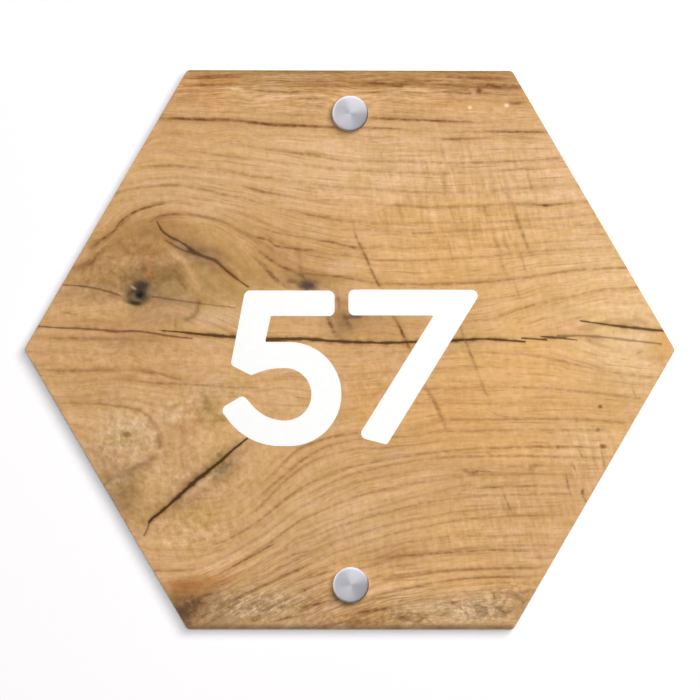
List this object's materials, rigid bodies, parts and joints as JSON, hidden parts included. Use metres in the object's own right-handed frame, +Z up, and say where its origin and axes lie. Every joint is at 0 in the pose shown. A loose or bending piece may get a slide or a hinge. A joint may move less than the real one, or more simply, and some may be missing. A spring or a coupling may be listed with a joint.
{
  "type": "door number plate",
  "caption": "Hexagonal number plate with a wood-look face, held to a door by countersunk screws hidden under turned metal caps.",
  "frame": {"origin": "centre of the plate's back face, on the door's surface", "axes": "+Z up, +X along the longest diagonal, +Y into the door, so the printed face looks along -Y"},
  "size_m": [0.1996, 0.0311, 0.172],
  "materials": {
    "printed_plastic": "satin",
    "turned_steel": "brushed",
    "plain_steel": "satin",
    "white_nylon": "matte",
    "zinc_plate": "satin"
  },
  "bodies": {
    "root": {"plate": "printed_plastic", "upper_cap": "turned_steel", "lower_cap": "turned_steel", "upper_cap_base": "plain_steel", "lower_cap_base": "plain_steel", "upper_washer": "white_nylon", "lower_washer": "white_nylon", "upper_screw": "zinc_plate", "lower_screw": "zinc_plate"}
  },
  "joints": []
}
